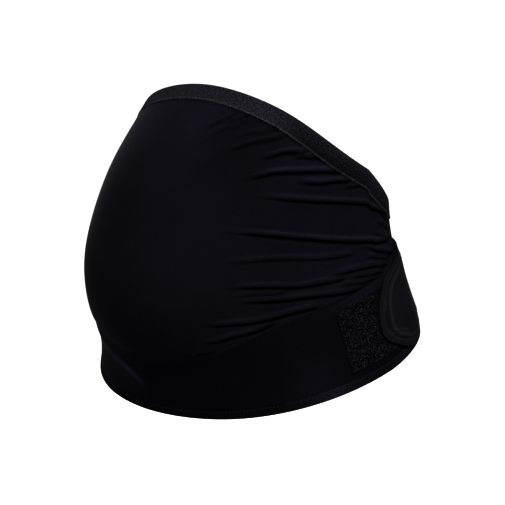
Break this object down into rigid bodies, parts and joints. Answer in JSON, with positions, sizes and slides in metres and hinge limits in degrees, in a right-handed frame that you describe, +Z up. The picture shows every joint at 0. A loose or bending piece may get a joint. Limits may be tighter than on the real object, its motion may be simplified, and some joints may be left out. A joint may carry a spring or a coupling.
{
  "type": "maternity support belt",
  "caption": "Stretch support tube with a domed, side-gathered belly panel, elastic top edge, under-belly band, and a padded back belt closed over loop patches at the hips.",
  "frame": {"origin": "on the wearer's upright axis, a third of the way up the front of the belt, level with the lower belly", "axes": "+Z up along the wearer, -Y towards the belly, +X towards the wearer's left"},
  "size_m": [0.3706, 0.3137, 0.3108],
  "materials": {
    "microfibre": "smooth black stretch knit with a soft satin sheen",
    "elastic": "matte brushed elastic webbing",
    "band_cloth": "firm smooth black knit",
    "hem_binding": "fine ribbed binding",
    "loop_pile": "matte looped pile",
    "hook_tape": "stiff hook tape",
    "belt_cloth": "laminated cloth over thin foam"
  },
  "bodies": {
    "root": {"belly_panel": "microfibre", "back_panel": "microfibre", "top_elastic": "elastic", "lower_band": "band_cloth", "bottom_hem": "hem_binding", "loop_patch_left": "loop_pile", "loop_patch_right": "loop_pile", "hook_patch_left": "hook_tape", "hook_patch_right": "hook_tape", "back_belt": "belt_cloth"}
  },
  "joints": []
}
